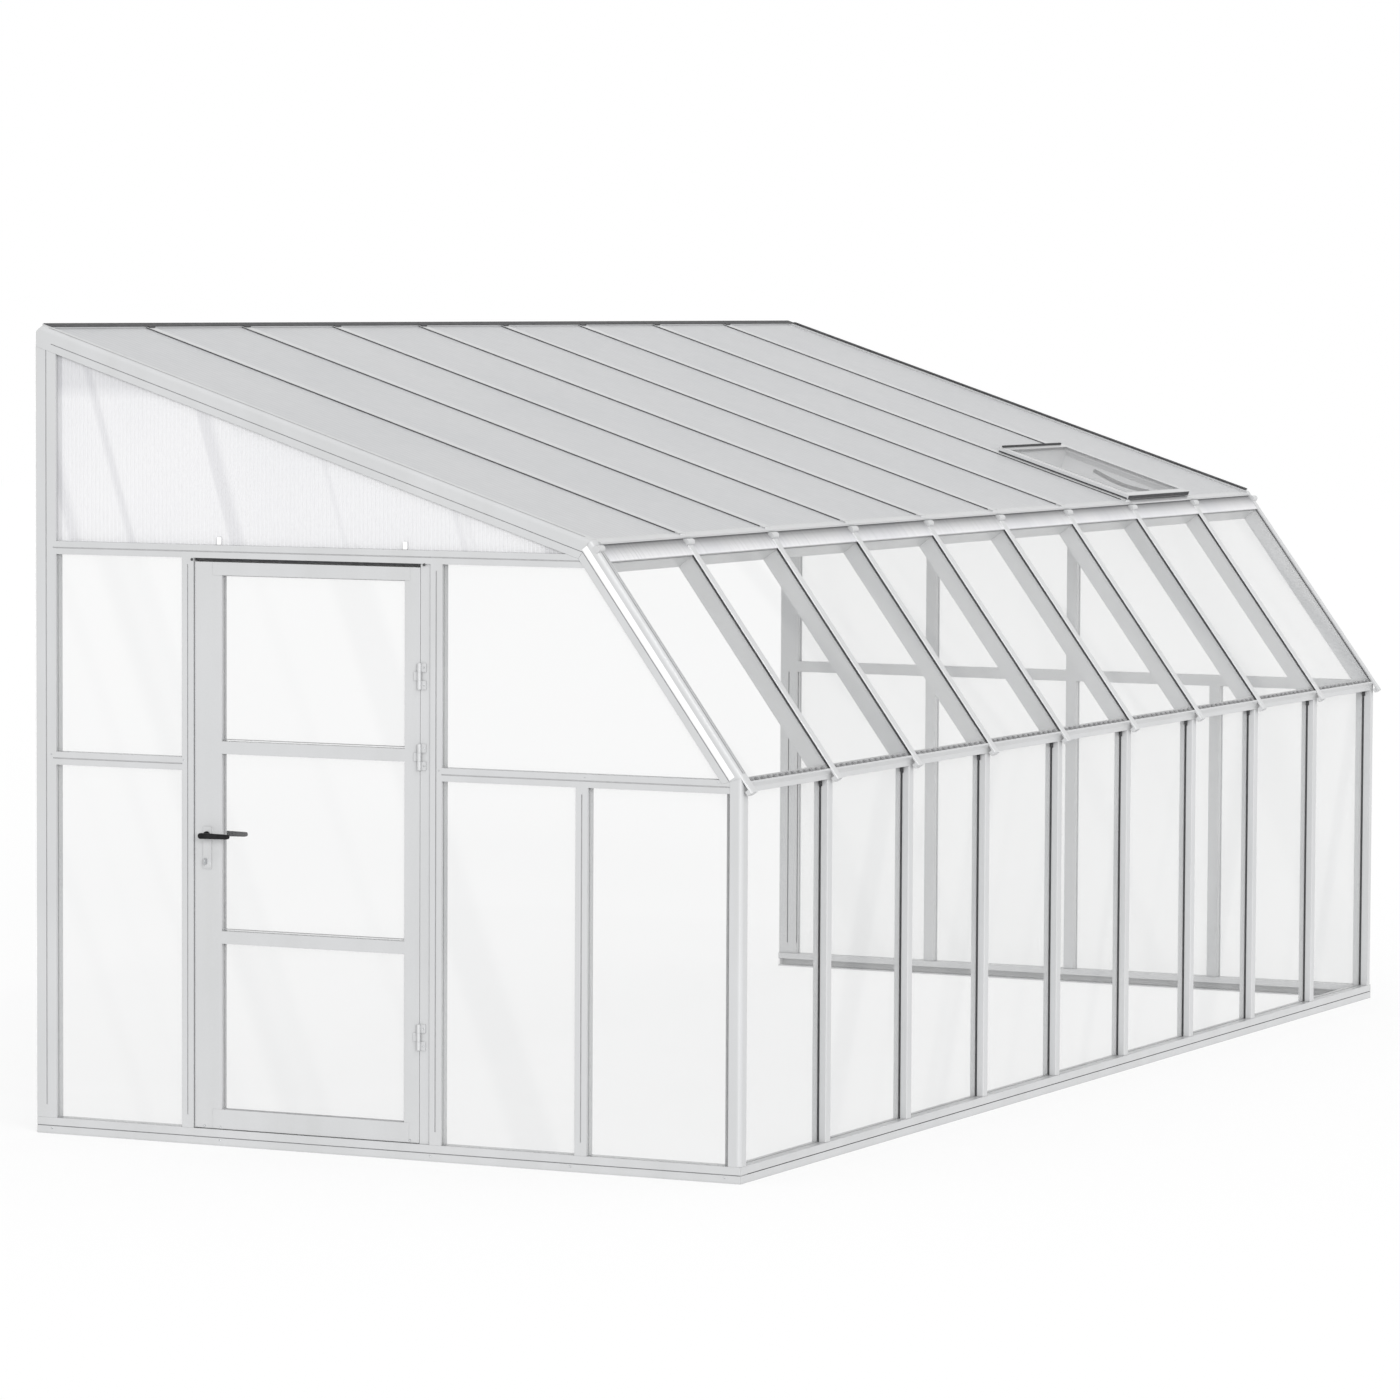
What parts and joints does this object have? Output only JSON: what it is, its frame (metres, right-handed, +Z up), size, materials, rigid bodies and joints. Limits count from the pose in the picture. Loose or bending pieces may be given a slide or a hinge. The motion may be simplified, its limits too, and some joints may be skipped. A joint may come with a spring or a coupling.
{
  "type": "lean-to greenhouse",
  "caption": "Long lean-to greenhouse that stands against a house wall, with a bent glass front, a ribbed sheet roof, a hinged door with a lever in one gable and a roof vent.",
  "frame": {"origin": "centre of the footprint's bounding box, on the ground", "axes": "+X along the house wall from the door gable to the far gable, +Y towards the house wall, +Z up"},
  "size_m": [6.3, 2.7954, 2.863],
  "materials": {
    "frame": "pale grey powder coat",
    "glass": "clear",
    "sheet": "translucent ribbed twin-wall sheet",
    "black": "black satin",
    "steel": "brushed",
    "stay": "black satin"
  },
  "bodies": {
    "greenhouse": {"base_front_near": "frame", "base_front_middle": "frame", "base_front_far": "frame", "base_door_gable": "frame", "base_far_gable": "frame", "front_frame": "frame", "slope_frame": "frame", "roof_frame": "frame", "gable_frame_near": "frame", "gable_frame_far": "frame", "front_pane_1": "glass", "front_pane_2": "glass", "front_pane_3": "glass", "front_pane_4": "glass", "front_pane_5": "glass", "front_pane_6": "glass", "front_pane_7": "glass", "front_pane_8": "glass", "front_pane_9": "glass", "slope_pane_1": "glass", "slope_pane_2": "glass", "slope_pane_3": "glass", "slope_pane_4": "glass", "slope_pane_5": "glass", "slope_pane_6": "glass", "slope_pane_7": "glass", "slope_pane_8": "glass", "slope_pane_9": "glass", "near_house_lower_pane": "glass", "near_house_upper_pane": "glass", "near_hinge_lower_pane": "glass", "near_corner_lower_pane": "glass", "near_corner_upper_pane": "glass", "far_lower_pane_1": "glass", "far_lower_pane_2": "glass", "far_lower_pane_3": "glass", "far_lower_pane_4": "glass", "far_upper_pane_1": "glass", "far_upper_pane_2": "glass", "far_upper_pane_3": "glass", "roof_panel_1": "sheet", "roof_panel_2": "sheet", "roof_panel_3": "sheet", "roof_panel_4": "sheet", "roof_panel_5": "sheet", "roof_panel_6": "sheet", "roof_panel_7": "sheet", "roof_panel_8": "sheet", "roof_panel_9": "sheet", "near_top_sheet": "sheet", "far_top_sheet": "sheet"},
    "door": {"door_frame": "frame", "door_pane": "glass"},
    "handle": {"door_handle": "black"},
    "lock": {"lock_cylinder": "steel"},
    "bolt": {"lock_bolt": "steel"},
    "vent": {"vent_sash": "frame", "vent_pane": "sheet"},
    "stay": {"vent_stay": "stay"}
  },
  "joints": [
    {"name": "door_hinge", "type": "hinge", "parent": "greenhouse", "child": "door", "pos_m": [-3.106, -0.1367, 1.06], "axis": [0, 0, 1], "range_deg": [0, 105]},
    {"name": "lever_turn", "type": "hinge", "parent": "door", "child": "handle", "pos_m": [-3.081, 0.70405, 1.088], "axis": [1, 0, 0], "range_deg": [0, 40], "stiffness_Nm_per_rad": 0.6, "springref_deg": -68.75},
    {"name": "key_turn", "type": "hinge", "parent": "door", "child": "lock", "pos_m": [-3.081, 0.70405, 0.996], "axis": [1, 0, 0], "range_deg": [0, 90]},
    {"name": "bolt_slide", "type": "slide", "parent": "door", "child": "bolt", "axis": [0, 1, 0], "range_m": [0, 0.014]},
    {"name": "vent_hinge", "type": "hinge", "parent": "greenhouse", "child": "vent", "pos_m": [2.093, -0.20706, 2.35163], "axis": [-1, 0, 0], "range_deg": [0, 50]},
    {"name": "stay_pivot", "type": "hinge", "parent": "vent", "child": "stay", "pos_m": [2.1758, -0.72723, 2.1695], "axis": [-1, 0, 0], "range_deg": [0, 85]}
  ],
  "couplings": [
    {"joint": "key_turn", "follows": "bolt_slide", "rad_per_m": 112.19}
  ]
}
